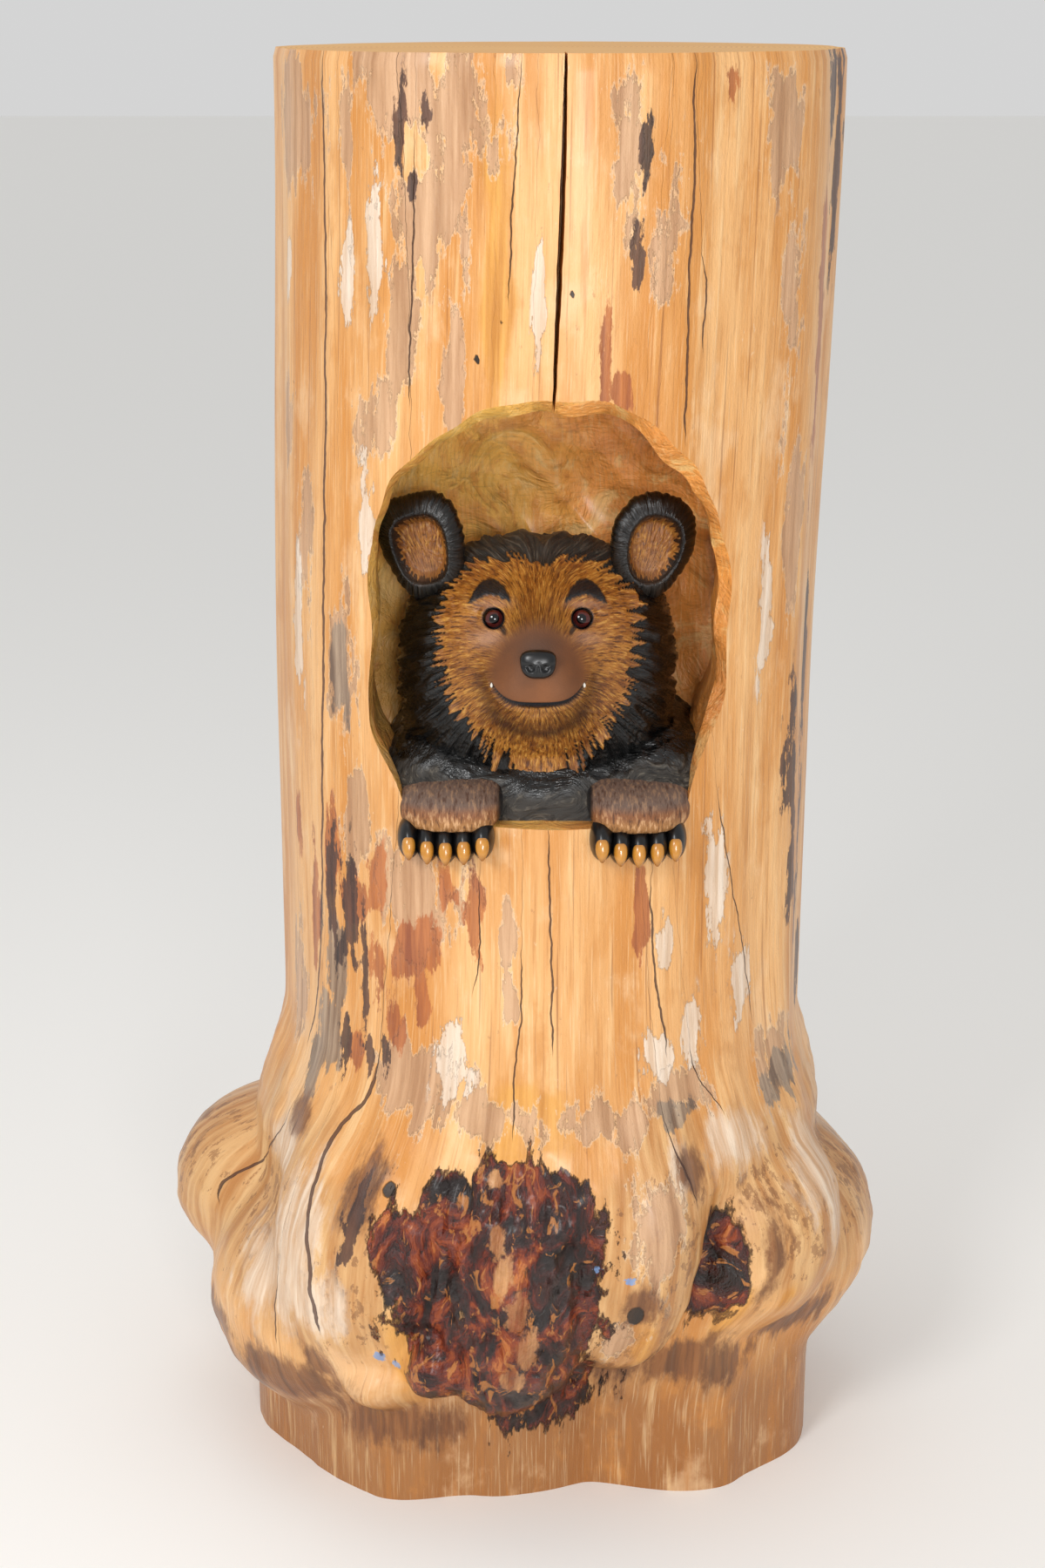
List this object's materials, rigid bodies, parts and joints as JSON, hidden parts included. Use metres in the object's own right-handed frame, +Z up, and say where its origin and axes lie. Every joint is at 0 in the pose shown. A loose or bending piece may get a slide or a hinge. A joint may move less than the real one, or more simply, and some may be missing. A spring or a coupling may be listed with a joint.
{
  "type": "carved log sculpture",
  "caption": "Upright burled log, sawn flat at both ends, with an arched niche from which a carved bear's head and paws lean out over the sill.",
  "frame": {"origin": "middle of the log's foot, on its flat underside", "axes": "+Z up the log, -Y out of the niche towards the viewer, +X to the viewer's right"},
  "size_m": [0.7506, 0.64, 1.42],
  "materials": {
    "varnished_pine": "clear varnish over debarked wood",
    "eye_glass": "polished dark brown glass"
  },
  "bodies": {
    "root": {"carved_log": "varnished_pine", "glass_eye_left": "eye_glass", "glass_eye_right": "eye_glass"}
  },
  "joints": []
}
